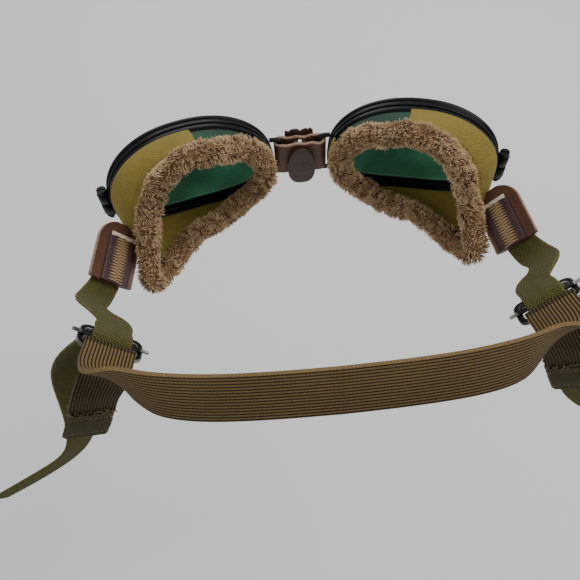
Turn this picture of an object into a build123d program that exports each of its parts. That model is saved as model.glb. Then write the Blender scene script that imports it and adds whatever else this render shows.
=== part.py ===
from build123d import *
from math import cos, pi, radians, sin, sqrt
import os

# Soft-strapped two-eyecup goggles. Millimetres, +X to the wearer's left, +Y to the back of the
# head, +Z up. The origin is the middle of the bridge, between the two fold bars.
# Every left-hand piece is made first and mirrored in the YZ plane for the right-hand one.

# Eyepiece: a curved lens in a sheet-metal eyewire, seen from the front as a soft rectangle
eye_centre_x = 50.6
face_form = 14.0             # degrees that each eyepiece turns back at the temple
half_width = 37.5
half_height = 25.0
oval_power = 2.4             # 2 is an ellipse, more is squarer
lens_radius = 95.0           # of the cylinder that the lens is bent to, axis upright
lens_thickness = 2.0
eyewire_depth = 4.6
eyewire_wall = 3.0
groove_depth = 1.6
groove_gap = 0.15
cup_ring_depth = 2.4
cup_ring_wall = 1.7
layer_gap = 0.25

# Temple end of the eyewire: two barrels closed by an upright screw
split_gap = 1.2
barrel_radius = 2.5
barrel_height = 5.6
barrel_u = half_width + 1.6
screw_radius = 1.1
screw_fit = 0.12
screw_head_radius = 2.1
screw_head_height = 1.5
screw_tip = 3.2
nut_radius = 2.0
nut_height = 1.4

# Bridge: a leather loop round the two upright fold bars
fold_x = 8.4
fold_y = -1.5
bar_radius = 1.5
bar_half_length = 10.4
bar_arm_height = 1.6
arm_bite = 2.3               # how far each arm goes past the rim's nose end, into its corner
leather = 1.5
leather_gap = 0.3
bridge_height = 16.4
bridge_waist = 0.45          # how far the loop is drawn in between the bars
waist_radius = 60.0
clip_web = 1.5
clip_flange = Vector(5.0, 0.7, bridge_height - 3.0)
clip_play = 1.3              # left between the clip and the leather, front and back together
ridge = Vector(13.0, 1.4, bridge_height + 2.0)
ridge_lift = 1.4
ridge_corner = 1.5
ridge_stitch_gap = 0.3       # between the loop's front and the back of the ridge
guard = Vector(12.4, 1.6, 21.0)
guard_corner = 4.0
guard_centre = Vector(0, 3.1, -3.6)

# Canvas eyecup and its pile edging, as sections turned about the eye's own axis
canvas = 1.2
canvas_inset = 1.4           # from the rim's edge in to the middle of the clamped cloth
canvas_end_gap = 0.2
canvas_from = radians(-198)  # the cloth stops short of the top nose corner, which stays open
canvas_to = radians(97)
canvas_sections = 24
pile_radius = 4.7
pile_sides = 12
pile_sections = 32
pile_rise = 1.0
pile_seam_at = radians(-98)
pile_seam_gap = 0.012        # radians left open at the sewn seam

# The edging's line from the cheek corner up the temple, over the brow and down by the nose:
# degrees round the eye's axis, distance from it, and how far back
pile_line = [
    (-27, 33.6, 45.8), (-8, 27.2, 37.0), (22, 23.4, 29.0), (50, 24.6, 27.0),
    (72, 28.0, 27.8), (93, 31.6, 28.6), (114, 29.2, 25.0), (138, 29.4, 20.0),
    (162, 31.4, 20.4), (180, 29.0, 21.0), (208, 23.5, 18.5), (235, 22.0, 18.0),
    (262, 21.5, 19.5), (291, 22.5, 23.5), (314, 28.5, 35.0),
]

# Straps
webbing_width = 12.7
webbing = 1.4
elastic_width = 16.0
elastic = 1.5
stop_length = 17.0
stop_thickness = 4.0

# Temple tab: a rounded leather leaf with a stitched strip on its inner face
tab_centre = Vector(81.5, 44.2, -1.6)
tab_along = Vector(0.17, 0.97, -0.15).normalized()
tab_up = Vector(0.67, 0.0, 0.74)
tab_length = 27.0
tab_width = 19.0
tab_thickness = 1.8
strip_length = 21.0
strip_width = 12.0
strip_thickness = 1.4

strip_offset = (tab_length - strip_length) / 2
sewn_gap = 0.2               # thread's depth between the leaf and the webbing sewn to it

# Slide buckle: a sheet-metal frame with a loose bar across it
buckle_centre = Vector(70.0, 104.0, 29.0)
buckle_along = Vector(-0.119, 0.838, 0.534).normalized()
buckle_side = Vector(0.84, -0.2, 0.5)
buckle_length = 13.0
buckle_width = 21.0
buckle_rail = 2.2
buckle_thickness = 1.3
buckle_bar = Vector(25.0, 2.4, 1.2)

os.makedirs("parts", exist_ok=True)


def square_to(direction, axis):
    """The part of a direction that is square to an axis, one unit long."""
    return (direction - axis * direction.dot(axis)).normalized()


def save(part, name):
    export_step(part, f"parts/{name}.step")


def save_pair(left_part, name):
    """A left-hand piece and its mirror image."""
    save(left_part, f"left_{name}")
    save(mirror(left_part, about=Plane.YZ), f"right_{name}")


# --- eyepiece, in its own frame: u outward, v back, z up -------------------------------------

eyepiece = Location((eye_centre_x, 0, 0), (0, 0, face_form))


def oval_radius(angle, a, b, power):
    return (abs(cos(angle) / a) ** power + abs(sin(angle) / b) ** power) ** (-1 / power)


def oval_block(grow):
    """The oval outline, larger all round by grow, as a block through the whole eyepiece."""
    steps = 36
    points = []
    for i in range(steps):
        angle = 2 * pi * i / steps
        radius = oval_radius(angle, half_width + grow, half_height + grow, oval_power)
        points.append(Vector(radius * cos(angle), -20, radius * sin(angle)))
    outline = Wire([Edge.make_spline(points, periodic=True)])
    return extrude(Face(outline), amount=60, dir=(0, 1, 0))


def curved_layer(front, depth):
    """The space between two cylinders, starting `front` behind the lens's middle surface."""
    outer = Cylinder(lens_radius - front, 90)
    inner = Cylinder(lens_radius - front - depth, 100)
    return Pos(0, lens_radius, 0) * (outer - inner)


def curved_ring(grow, wall, front, depth):
    ring = oval_block(grow) - oval_block(grow - wall)
    return ring & curved_layer(front, depth)


def layer_v(u, front):
    """How far back a curved layer lies at u."""
    return lens_radius - sqrt((lens_radius - front) ** 2 - u ** 2)


def upright(radius, bottom, height, u, v):
    return Pos(u, v, bottom + height / 2) * Cylinder(radius, height)


def temple_v():
    return layer_v(half_width, 0)


def make_eyewire():
    """Channel-section rim with the lens groove, a split temple end and the fold bar."""
    front = -eyewire_depth / 2
    rim = curved_ring(0, eyewire_wall, front, eyewire_depth)
    groove_front = -lens_thickness / 2 - groove_gap
    groove = curved_ring(
        -eyewire_wall + groove_depth, groove_depth + 1, groove_front, lens_thickness + 2 * groove_gap
    )
    rim = rim - groove
    for side in (1, -1):
        bottom = split_gap / 2 if side > 0 else -split_gap / 2 - barrel_height
        rim = rim + upright(barrel_radius, bottom, barrel_height, barrel_u, temple_v())
    rim = rim - upright(screw_radius + screw_fit, -20, 40, barrel_u, temple_v())
    rim = rim - Pos(barrel_u, temple_v(), 0) * Box(16, 16, split_gap)
    rim = eyepiece * rim
    bar = upright(bar_radius, -bar_half_length, 2 * bar_half_length, fold_x, fold_y)
    turn = radians(face_form)
    rim_end_x = eye_centre_x - half_width * cos(turn) - temple_v() * sin(turn)
    arm_reach = rim_end_x + arm_bite - fold_x
    for side in (1, -1):
        z = side * (bar_half_length - bar_arm_height / 2)
        arm = Pos(fold_x + arm_reach / 2, fold_y, z) * Box(arm_reach, 2.4, bar_arm_height)
        bar = bar + arm
    return rim + bar


def make_lens():
    grow = -eyewire_wall + groove_depth - groove_gap
    return eyepiece * (oval_block(grow) & curved_layer(-lens_thickness / 2, lens_thickness))


def make_cup_ring():
    """The rear ring that clamps the canvas to the eyewire."""
    front = eyewire_depth / 2 + layer_gap
    return eyepiece * curved_ring(-0.5, cup_ring_wall, front, cup_ring_depth)


def make_closing_screw():
    top = split_gap / 2 + barrel_height
    seat = top + screw_fit
    length = seat + top + screw_tip
    shank = upright(screw_radius, seat - length, length, barrel_u, temple_v())
    head = upright(screw_head_radius, seat, screw_head_height, barrel_u, temple_v())
    slot = Pos(barrel_u, temple_v(), seat + screw_head_height) * Box(6, 0.6, 1.2)
    return eyepiece * (shank + head - slot)


def make_closing_nut():
    bottom = -split_gap / 2 - barrel_height - nut_height - 0.1
    nut = upright(nut_radius, bottom, nut_height, barrel_u, temple_v())
    nut = nut - upright(screw_radius + screw_fit, bottom - 1, nut_height + 2, barrel_u, temple_v())
    return eyepiece * nut


def pile_centre(angle):
    """Where the edging's middle runs: distance from the eye's axis, and how far back."""
    count = len(pile_line)
    full = 2 * pi

    def station(i):
        turns, k = divmod(i, count)
        degrees, radius, back = pile_line[k]
        return radians(degrees) + full * turns, (radius, back)

    first = radians(pile_line[0][0])
    angle = first + (angle - first) % full
    k = max(i for i in range(count) if station(i)[0] <= angle + 1e-9)
    near = [station(i) for i in range(k - 1, k + 3)]
    span = near[2][0] - near[1][0]
    t = (angle - near[1][0]) / span
    result = []
    for part in (0, 1):
        before, start, end, after = [value[part] for _, value in near]
        leaving = (end - before) / (near[2][0] - near[0][0]) * span
        arriving = (after - start) / (near[3][0] - near[1][0]) * span
        blend = 3 * t ** 2 - 2 * t ** 3
        curve = start + (end - start) * blend
        curve += leaving * (t - 2 * t ** 2 + t ** 3) + arriving * (t ** 3 - t ** 2)
        result.append(curve)
    return result


def turned_section(angle, radius, v):
    return Vector(radius * cos(angle), v, pile_rise + radius * sin(angle))


def make_pile_edging():
    """The edging's outer shape: a ring of twelve-sided sections, open only at its seam."""
    sections = []
    for i in range(pile_sections + 1):
        angle = pile_seam_at + (2 * pi - pile_seam_gap) * i / pile_sections
        radius, v = pile_centre(angle)
        corners = []
        for k in range(pile_sides):
            turn = 2 * pi * (k + 0.5) / pile_sides
            around = radius + pile_radius * cos(turn)
            corners.append(turned_section(angle, around, v + pile_radius * sin(turn)))
        sections.append(Wire.make_polygon(corners, close=True))
    return eyepiece * Solid.make_loft(sections)


def make_canvas_cup():
    """The cloth wall from the clamp ring back to the edging, open at the top nose corner."""
    front = eyewire_depth / 2 + layer_gap + cup_ring_depth + layer_gap
    walls = []
    for i in range(canvas_sections + 1):
        angle = canvas_from + (canvas_to - canvas_from) * i / canvas_sections
        start_radius = oval_radius(
            angle, half_width - canvas_inset, half_height - canvas_inset, oval_power
        )
        start = (start_radius, layer_v(start_radius * cos(angle), front))
        end = pile_centre(angle)
        length = sqrt((end[0] - start[0]) ** 2 + (end[1] - start[1]) ** 2)
        along = ((end[0] - start[0]) / length, (end[1] - start[1]) / length)
        reach = length - pile_radius - canvas_end_gap
        corners = []
        for step, side in ((0, 0.5), (reach, 0.5), (reach, -0.5), (0, -0.5)):
            radius = start[0] + along[0] * step + along[1] * side * canvas
            v = start[1] + along[1] * step - along[0] * side * canvas
            corners.append(turned_section(angle, radius, v))
        walls.append(Wire.make_polygon(corners, close=True))
    return eyepiece * Solid.make_loft(walls)


# --- bridge -----------------------------------------------------------------------------------

def make_bridge_strap():
    """One leather loop round both fold bars, drawn in a little between them."""
    inner_radius = bar_radius + leather_gap
    outer_radius = inner_radius + leather
    outer = SlotCenterToCenter(2 * fold_x, 2 * outer_radius)
    inner = SlotCenterToCenter(2 * fold_x, 2 * inner_radius)
    for side in (1, -1):
        cut = waist_radius - bridge_waist
        outer = outer - Pos(0, side * (cut + outer_radius)) * Circle(waist_radius)
        inner = inner - Pos(0, side * (cut + inner_radius)) * Circle(waist_radius)
    loop = extrude(outer - inner, amount=bridge_height / 2, both=True)
    return Pos(0, fold_y, 0) * loop


def make_bridge_clip():
    """A bent steel strip across the inside of the loop, holding its two layers apart."""
    depth = 2 * (bar_radius + leather_gap) - clip_play
    clip = Box(clip_web, depth, bridge_height - 1.0)
    for side in (1, -1):
        clip = clip + Pos(0, side * (depth - clip_flange.Y) / 2, 0) * Box(*clip_flange)
    return Pos(0, fold_y, 0) * clip


def make_bridge_ridge():
    """The stiff leather patch sewn on the front of the loop, standing above its edge."""
    patch = Box(*ridge)
    y = fold_y - bar_radius - leather_gap - leather - ridge_stitch_gap - ridge.Y / 2
    return Pos(0, y, ridge_lift) * fillet(patch.edges().filter_by(Axis.Y), ridge_corner)


def make_nose_guard():
    """The flap that keeps the bridge's metal off the wearer's nose."""
    flap = Box(*guard)
    return Pos(*guard_centre) * fillet(flap.edges().filter_by(Axis.Y), guard_corner)


# --- straps -----------------------------------------------------------------------------------

def ribbon(stations, width, thickness):
    """A flat strap through stations, each a point and the way that its width lies."""
    points = [Vector(*point) for point, _ in stations]
    sections = []
    for i, (_, side) in enumerate(stations):
        ahead = points[min(i + 1, len(points) - 1)]
        behind = points[max(i - 1, 0)]
        tangent = (ahead - behind).normalized()
        across = square_to(Vector(*side), tangent)
        normal = tangent.cross(across)
        corners = []
        for a, b in ((0.5, 0.5), (-0.5, 0.5), (-0.5, -0.5), (0.5, -0.5)):
            corners.append(points[i] + across * (a * width) + normal * (b * thickness))
        sections.append(Wire.make_polygon(corners, close=True))
    return Solid.make_loft(sections, ruled=True)


tab_normal = square_to(Vector(-0.72, 0.2, 0.66), tab_along)
tab_across = square_to(tab_up, tab_along)
tab_plane = Plane(origin=tab_centre, x_dir=tab_along, z_dir=tab_normal)
buckle_across = square_to(buckle_side, buckle_along)
buckle_plane = Plane(
    origin=buckle_centre, x_dir=buckle_across, z_dir=buckle_along.cross(buckle_across) * -1
)
buckle_up = buckle_plane.z_dir


def make_tab_leaf():
    """Outer leather, round at its front end."""
    body = Pos(tab_width / 4, 0) * Rectangle(tab_length - tab_width / 2, tab_width)
    nose = Pos(-tab_length / 2 + tab_width / 2, 0) * Circle(tab_width / 2)
    leaf = extrude(body + nose, amount=tab_thickness / 2, both=True)
    return tab_plane * leaf


def make_tab_strip():
    """Inner leather under the stitching."""
    z = (tab_thickness + strip_thickness) / 2
    return tab_plane * Pos(strip_offset, 0, z) * Box(strip_length, strip_width, strip_thickness)


def make_strap_front():
    """Webbing sewn to the outer face of the tab, as far as the eyepiece carries it."""
    lift = tab_normal * -((tab_thickness + webbing) / 2 + sewn_gap)
    start = tab_centre - tab_along * 9 + lift
    end = tab_centre + tab_along * 14 + lift
    return ribbon(
        [
            (start, tab_across),
            (end, tab_across),
            ((87.4, 61.4, -5.2), tab_across),
        ],
        webbing_width,
        webbing,
    )


def make_strap_run():
    """Webbing between the temple and the buckle."""
    side = buckle_side
    return ribbon(
        [
            ((83.6, 76.6, 11.0), (0.72, -0.08, 0.68)),
            ((77.0, 85.0, 16.8), (0.78, -0.14, 0.6)),
            ((73.9, 89.7, 19.7), side),
        ],
        webbing_width,
        webbing,
    )


def make_buckle_frame():
    frame = Box(buckle_width, buckle_length, buckle_thickness)
    window = Box(buckle_width - 2 * buckle_rail, buckle_length - 2 * buckle_rail, 5)
    frame = fillet((frame - window).edges().filter_by(Axis.Z), 0.9)
    return buckle_plane * frame


def make_buckle_bar():
    bar = Box(*buckle_bar)
    z = (buckle_thickness + buckle_bar.Z) / 2
    return buckle_plane * Pos(0, 0, z) * fillet(bar.edges().filter_by(Axis.Z), 0.8)


def make_webbing_tail():
    """The loose end, back under the buckle's front rail and hanging outside the strap."""
    start = buckle_centre - buckle_along * 5 - buckle_up * 2.2
    return ribbon(
        [
            (start, buckle_side),
            ((80.0, 95.0, 19.0), (0.7, 0.5, 0.5)),
            ((89.0, 93.5, 12.0), (0.55, 0.8, 0.3)),
            ((94.5, 95.0, 1.0), (0.75, 0.6, 0.25)),
            ((97.0, 99.0, -14.0), (0.9, 0.35, 0.25)),
            ((98.5, 106.0, -30.0), (0.8, 0.5, 0.35)),
            ((104.0, 111.5, -41.0), (0.5, 0.5, 0.7)),
            ((117.0, 117.0, -48.0), (0.2, 0.35, 0.9)),
            ((137.0, 125.0, -52.0), (0.1, 0.35, 0.95)),
        ],
        webbing_width,
        webbing,
    )


elastic_tail_route = [
    (buckle_centre + buckle_along * 5.2 - buckle_up * 2.7, buckle_side),
    (Vector(73.5, 110.5, 21.0), Vector(0.84, -0.2, 0.5)),
    (Vector(79.5, 112.0, 10.0), Vector(0.85, 0.1, 0.5)),
    (Vector(84.5, 113.5, -1.0), Vector(0.85, 0.2, 0.48)),
]


def make_elastic_tail():
    return ribbon(elastic_tail_route, elastic_width, elastic)


def make_elastic_stop():
    """Webbing folded over the elastic's end and sewn, so that it can't pull through."""
    end, side = elastic_tail_route[-1]
    before = elastic_tail_route[-2][0]
    along = (end - before).normalized()
    across = square_to(side, along)
    plane = Plane(origin=end + along * (stop_length / 2 + 0.1), x_dir=across, z_dir=along)
    return plane * Box(elastic_width + 0.6, stop_thickness, stop_length)


def make_head_band():
    """Elastic round the back of the head, upright there and turned flat at each buckle."""
    flat = buckle_side
    half = [
        (Vector(0, 133.5, 43.5), Vector(0, -0.45, 0.89)),
        (Vector(28, 132.6, 43.2), Vector(0, -0.45, 0.89)),
        (Vector(46, 130.2, 42.4), Vector(0, -0.43, 0.9)),
        (Vector(54, 127.5, 41.2), Vector(0.15, -0.4, 0.9)),
        (Vector(61, 123.4, 39.6), Vector(0.45, -0.35, 0.8)),
        (Vector(67.6, 118.0, 37.6), flat),
    ]
    stations = []
    for point, side in reversed(half[1:]):
        mirrored_side = Vector(-side.X, side.Y, side.Z)
        stations.append((Vector(-point.X, point.Y, point.Z), mirrored_side))
    return ribbon(stations + half, elastic_width, elastic)


save(make_bridge_strap(), "bridge_strap")
save(make_bridge_clip(), "bridge_clip")
save(make_bridge_ridge(), "bridge_ridge")
save(make_nose_guard(), "nose_guard")
save(make_head_band(), "head_band")
save_pair(make_strap_run(), "strap_run")

save_pair(make_eyewire(), "eyewire")
save_pair(make_lens(), "lens")
save_pair(make_cup_ring(), "cup_ring")
save_pair(make_closing_screw(), "closing_screw")
save_pair(make_closing_nut(), "closing_nut")
save_pair(make_canvas_cup(), "canvas_cup")
save_pair(make_pile_edging(), "pile_edging")
save_pair(make_tab_leaf(), "tab_leaf")
save_pair(make_tab_strip(), "tab_strip")
save_pair(make_strap_front(), "strap_front")

save_pair(make_buckle_frame(), "buckle_frame")
save_pair(make_buckle_bar(), "buckle_bar")
save_pair(make_webbing_tail(), "webbing_tail")
save_pair(make_elastic_tail(), "elastic_tail")
save_pair(make_elastic_stop(), "elastic_stop")
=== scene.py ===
# %% [markdown]
# Strapped goggles: two curved green lenses in black rims, canvas cups with a curly pile edge,
# a leather bridge, leather temple tabs, olive webbing, slide buckles and a ribbed elastic.
# The hard design is loaded first and never moved. Every cell below dresses a part of it.

# %% Load the frame
from math import asin, cos, pi, radians, sin, sqrt

import bmesh
import bpy
import numpy as np
from mathutils import Matrix, Vector


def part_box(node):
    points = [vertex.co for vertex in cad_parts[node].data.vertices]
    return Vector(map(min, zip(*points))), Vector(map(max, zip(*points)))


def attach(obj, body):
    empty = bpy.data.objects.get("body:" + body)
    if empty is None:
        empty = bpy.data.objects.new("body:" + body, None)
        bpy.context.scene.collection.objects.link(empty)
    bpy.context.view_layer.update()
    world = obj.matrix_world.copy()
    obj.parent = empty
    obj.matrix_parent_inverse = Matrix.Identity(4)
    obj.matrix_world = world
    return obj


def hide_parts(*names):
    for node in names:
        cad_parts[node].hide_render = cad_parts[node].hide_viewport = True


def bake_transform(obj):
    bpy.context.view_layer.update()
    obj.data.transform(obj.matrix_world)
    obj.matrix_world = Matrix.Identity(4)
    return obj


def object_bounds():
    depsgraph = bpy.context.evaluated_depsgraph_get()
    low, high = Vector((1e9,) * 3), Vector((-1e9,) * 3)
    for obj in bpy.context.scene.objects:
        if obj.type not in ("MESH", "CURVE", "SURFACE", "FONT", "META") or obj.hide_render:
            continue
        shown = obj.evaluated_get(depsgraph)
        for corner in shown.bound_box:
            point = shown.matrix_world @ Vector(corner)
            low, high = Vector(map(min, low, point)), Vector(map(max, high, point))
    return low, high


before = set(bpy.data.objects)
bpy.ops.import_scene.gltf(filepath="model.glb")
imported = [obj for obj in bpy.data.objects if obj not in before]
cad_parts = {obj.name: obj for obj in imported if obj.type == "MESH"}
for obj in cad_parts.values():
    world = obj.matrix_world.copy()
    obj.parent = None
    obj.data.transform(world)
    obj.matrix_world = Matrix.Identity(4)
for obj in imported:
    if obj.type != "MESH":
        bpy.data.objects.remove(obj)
cad_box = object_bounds()
MM = 0.001
SIDES = (("left", 1), ("right", -1))

# %% [markdown]
# The camera looks down from behind the wearer's head into the cups. It is set by what it aims
# at, its height and turn, and its distance, because those can be read and changed one by one.

# %% Camera
AIM = Vector((0.0094, 0, -0.111))
TURN, HEIGHT, ROLL = radians(1.3), radians(57.2), radians(-4.4)
DISTANCE = 0.365
back = Vector((sin(TURN) * cos(HEIGHT), cos(TURN) * cos(HEIGHT), sin(HEIGHT)))
level = (-back).cross(Vector((0, 0, 1))).normalized()
rise = level.cross(-back)
right = level * cos(ROLL) + rise * sin(ROLL)
up = rise * cos(ROLL) - level * sin(ROLL)
camera_data = bpy.data.cameras.new("studio_camera")
camera_data.lens = 37.24
camera_data.clip_start = 0.01
camera = bpy.data.objects.new("studio_camera", camera_data)
facing = Matrix((right, up, back)).transposed().to_4x4()
camera.matrix_world = Matrix.Translation(AIM + back * DISTANCE) @ facing
bpy.context.scene.collection.objects.link(camera)
bpy.context.scene.camera = camera
print("camera at", [round(c, 3) for c in camera.matrix_world.translation])

# %% [markdown]
# Shader sums are easier to read as Python sums. A Value wraps one output socket, and each
# operator on it adds the Math node that does the same thing. A Finish is one material: it makes
# any other node from its type, its settings and what goes into its sockets.


# %% Sums on sockets
def connect(tree, entry, socket):
    if isinstance(entry, Value):
        tree.links.new(entry.socket, socket)
    else:
        socket.default_value = entry


class Value:
    """One output of a node, which Python can do sums with."""

    def __init__(self, tree, socket):
        self.tree, self.socket = tree, socket

    def sum_node(self, operation, *entries):
        node = self.tree.nodes.new("ShaderNodeMath")
        node.operation = operation
        for socket, entry in zip(node.inputs, entries):
            connect(self.tree, entry, socket)
        return Value(self.tree, node.outputs[0])

    def __add__(self, other):
        return self.sum_node("ADD", self, other)

    def __radd__(self, other):
        return self.sum_node("ADD", other, self)

    def __sub__(self, other):
        return self.sum_node("SUBTRACT", self, other)

    def __rsub__(self, other):
        return self.sum_node("SUBTRACT", other, self)

    def __mul__(self, other):
        return self.sum_node("MULTIPLY", self, other)

    def __rmul__(self, other):
        return self.sum_node("MULTIPLY", other, self)

    def __truediv__(self, other):
        return self.sum_node("DIVIDE", self, other)

    def sine(self):
        return self.sum_node("SINE", self)

    def size(self):
        return self.sum_node("ABSOLUTE", self)

    def zigzag(self, height):
        return self.sum_node("PINGPONG", self, height)


# %% A material and its nodes
class Finish:
    """One procedural material. Lengths that it takes are in millimetres."""

    def __init__(self, name, **constants):
        self.material = bpy.data.materials.new(name)
        self.material.use_nodes = True
        self.tree = self.material.node_tree
        self.shader = self.tree.nodes["Principled BSDF"]
        for socket, value in constants.items():
            self.shader.inputs[socket.replace("_", " ")].default_value = value

    def node(self, kind, settings=None, sockets=None, output=0):
        node = self.tree.nodes.new(kind)
        for name, value in (settings or {}).items():
            setattr(node, name, value)
        for name, entry in (sockets or {}).items():
            connect(self.tree, entry, node.inputs[name])
        return Value(self.tree, node.outputs[output])

    def cloud(self, grain, detail=2.0, stretch=(1, 1, 1)):
        """Soft random blotches about `grain` across, from 0 to 1."""
        place = self.node("ShaderNodeTexCoord", output="Object")
        if stretch != (1, 1, 1):
            place = self.node("ShaderNodeMapping", sockets={"Vector": place, "Scale": stretch})
        settings = {"Vector": place, "Scale": 1 / (grain * MM), "Detail": detail}
        return self.node("ShaderNodeTexNoise", sockets=settings)

    def lay(self):
        """How far along and across a strap or cloth each point lies."""
        stored = self.node("ShaderNodeAttribute", {"attribute_name": "lay"}, output="Vector")
        split = ("ShaderNodeSeparateXYZ", None, {"Vector": stored})
        return [self.node(*split, output=i) for i in (0, 1, 2)]

    def wear(self):
        return self.node("ShaderNodeAttribute", {"attribute_name": "wear"}, output="Fac")

    def step(self, value, low, high):
        """0 below low, 1 above high, and a soft rise between."""
        ends = {"Value": value, "From Min": low, "From Max": high}
        return self.node("ShaderNodeMapRange", {"interpolation_type": "SMOOTHSTEP"}, ends)

    def dye(self, share, below, above):
        """A colour that goes from one to the other with share."""
        ends = {0: share}
        for place, shade in ((6, below), (7, above)):
            ends[place] = shade if isinstance(shade, Value) else (*shade, 1)
        return self.node("ShaderNodeMix", {"data_type": "RGBA"}, ends, output=2)

    def coat(self, colour, roughness=None, height=None, depth=0.1, metallic=None):
        """Gives the shader its colour, roughness and relief; depth is the relief's height."""
        connect(self.tree, colour, self.shader.inputs["Base Color"])
        if roughness is not None:
            connect(self.tree, roughness, self.shader.inputs["Roughness"])
        if metallic is not None:
            connect(self.tree, metallic, self.shader.inputs["Metallic"])
        if height is not None:
            relief = self.node("ShaderNodeBump", sockets={"Distance": depth * MM, "Height": height})
            connect(self.tree, relief, self.shader.inputs["Normal"])
        return self


print("shader helpers ready")

# %% [markdown]
# Black rims and buckles are stove-enamelled sheet metal. The enamel is nearly black and half
# glossy, with a faint orange-peel relief, and rubs through to grey metal on outer edges only.


# %% Enamelled metal
def enamel(name, rubbed, bare):
    paint = Finish(name, Specular_IOR_Level=0.2)
    peel = paint.cloud(0.9, 3)
    patches = paint.cloud(5, 4)
    worn = paint.step(paint.wear() * rubbed + patches * 0.5, 0.86, 1.06)
    colour = paint.dye(worn, paint.dye(patches, (0.003, 0.003, 0.004), (0.009, 0.009, 0.011)), bare)
    return paint.coat(colour, 0.26 + patches * 0.22 + worn * 0.1, peel, 0.03, worn * 0.8)


black_paint = enamel("black_paint", 0.42, (0.16, 0.155, 0.15))
buckle_steel = enamel("buckle_steel", 0.72, (0.42, 0.40, 0.37))
print("enamels made")

# %% [markdown]
# The lens is green glass, 2 mm thick. Light crosses its surface twice, so the colour of each
# crossing is the square root of what comes through. Old glass has a thin haze of dust.


# %% Green glass
def green_glass():
    glass = Finish("green_glass", IOR=1.5, Transmission_Weight=0.92)
    haze = glass.cloud(9, 4)
    patches = glass.cloud(24, 1)
    colour = glass.dye(glass.step(patches, 0.4, 0.7), (0.018, 0.060, 0.032), (0.030, 0.118, 0.064))
    return glass.coat(colour, 0.03 + haze * 0.12)


green_lens = green_glass()
print("glass made")

# %% [markdown]
# Canvas is a plain weave: each thread goes over one and under one. The product of two sine
# waves, one along each way of the cloth, gives that chequered relief. Broad clouds of lighter
# and darker olive stop the dye from looking flat, and the dips between threads get a painted shade.


# %% Plain canvas
def plain_canvas():
    cloth = Finish("olive_canvas", Sheen_Weight=0.04, Sheen_Roughness=0.6, Specular_IOR_Level=0.12)
    around, along, _ = cloth.lay()
    thread = 2 * pi / 1.15
    weave = (around * thread).sine() * (along * thread).sine()
    slub = cloth.cloud(1.6, 3)
    fade = cloth.cloud(14, 4)
    deep = cloth.dye(fade, (0.165, 0.120, 0.021), (0.215, 0.162, 0.032))
    bright = cloth.dye(fade, (0.275, 0.205, 0.043), (0.36, 0.275, 0.068))
    # The weave pulls the dips between threads towards `deep`, a painted shade; the slubs and clouds are the
    # cloth's own tone.
    colour = cloth.dye(0.5 + weave * 0.35 + (slub - 0.5) * 0.9, deep, bright)
    return cloth.coat(colour, 0.82 + slub * 0.14, weave * 0.5 + slub, 0.16)


olive_canvas = plain_canvas()
print("canvas made")

# %% [markdown]
# Webbing is a herringbone twill. Its diagonal runs one way over a few millimetres, then back,
# so the zigzag of the across distance is added to the along distance inside a sine wave. The
# weave's dips take a painted shade, and the tighter woven edges get a painted highlight.


# %% Herringbone webbing
def herringbone(name, shade, lit):
    cloth = Finish(name, Sheen_Weight=0.05, Sheen_Roughness=0.5, Specular_IOR_Level=0.12)
    along, across, _ = cloth.lay()
    twill = ((along + (across + 20).zigzag(2.12) * 1.2) * (2 * pi / 1.05)).sine()
    pick = (across * (2 * pi / 0.79)).sine() * (along * (2 * pi / 1.05)).sine()
    slub = cloth.cloud(1.2, 3)
    fade = cloth.cloud(18, 3)
    # A painted highlight along the tighter woven edges.
    edge = cloth.step(across.size(), 5.2, 6.3)
    weave = twill * 0.6 + pick * 0.25 + slub * 0.8 - 0.4
    # The weave's dips take `dark`, a painted shade; `shade` and `lit` are painted shaded and lit copies of
    # the webbing's colour.
    dark = cloth.dye(fade, [c * 0.62 for c in shade], shade)
    colour = cloth.dye(weave + 0.42, dark, cloth.dye(edge, lit, [min(1, c * 1.35) for c in lit]))
    return cloth.coat(colour, 0.8 + slub * 0.15, weave, 0.22)


olive_webbing = herringbone("olive_webbing", (0.060, 0.053, 0.014), (0.150, 0.134, 0.040))
stop_webbing = herringbone("stop_webbing", (0.042, 0.033, 0.013), (0.095, 0.076, 0.034))
print("webbings made")

# %% [markdown]
# Elastic has rubber cords inside and a knitted cover, so it shows a row of ribs with dark lines
# between them. The ribs are real geometry. The finish paints shade into the valleys, paints a
# highlight on the rib tops and adds the small slanted stitches.

# %% Ribbed elastic
ELASTIC_WIDTH = 16.0
RIBS = 15
RIB = ELASTIC_WIDTH / RIBS


def knitted(name, dark, mid, light):
    cloth = Finish(name, Sheen_Weight=0.04, Sheen_Roughness=0.5, Specular_IOR_Level=0.12)
    along, across, _ = cloth.lay()
    over = (across + ELASTIC_WIDTH).zigzag(RIB / 2) / (RIB / 2)
    stitch = ((along + over * 0.55) * (2 * pi / 1.05)).sine()
    slub = cloth.cloud(0.8, 2)
    fade = cloth.cloud(24, 2)
    # top is 1 on the rib crests: the valleys take the painted shade colour `dark`, the crests a painted
    # highlight.
    top = cloth.step(over, 0.12, 0.75)
    yarn = cloth.dye(stitch * 0.12 + slub * 0.7 + 0.15, mid, light)
    colour = cloth.dye(top * (0.75 + fade * 0.4), dark, yarn)
    return cloth.coat(colour, 0.7 + slub * 0.2, top * 0.6 + stitch * 0.08 + slub * 0.3, 0.2)


brown_elastic = knitted(
    "brown_elastic", (0.022, 0.014, 0.005), (0.120, 0.076, 0.031), (0.255, 0.172, 0.075)
)
# A darker copy of the elastic, a painted shade for the end that folds back under the buckle.
shaded_elastic = knitted(
    "brown_elastic_painted_shade", (0.012, 0.008, 0.003), (0.050, 0.034, 0.014), (0.11, 0.076, 0.033)
)
print("elastic made,", RIBS, "ribs of", round(RIB, 2), "mm")

# %% [markdown]
# Leather has a pebbled grain: cells of a Voronoi pattern with dark creases. Handling polishes
# it and rubs the dye off the cut edges, which turn pale.


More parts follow.
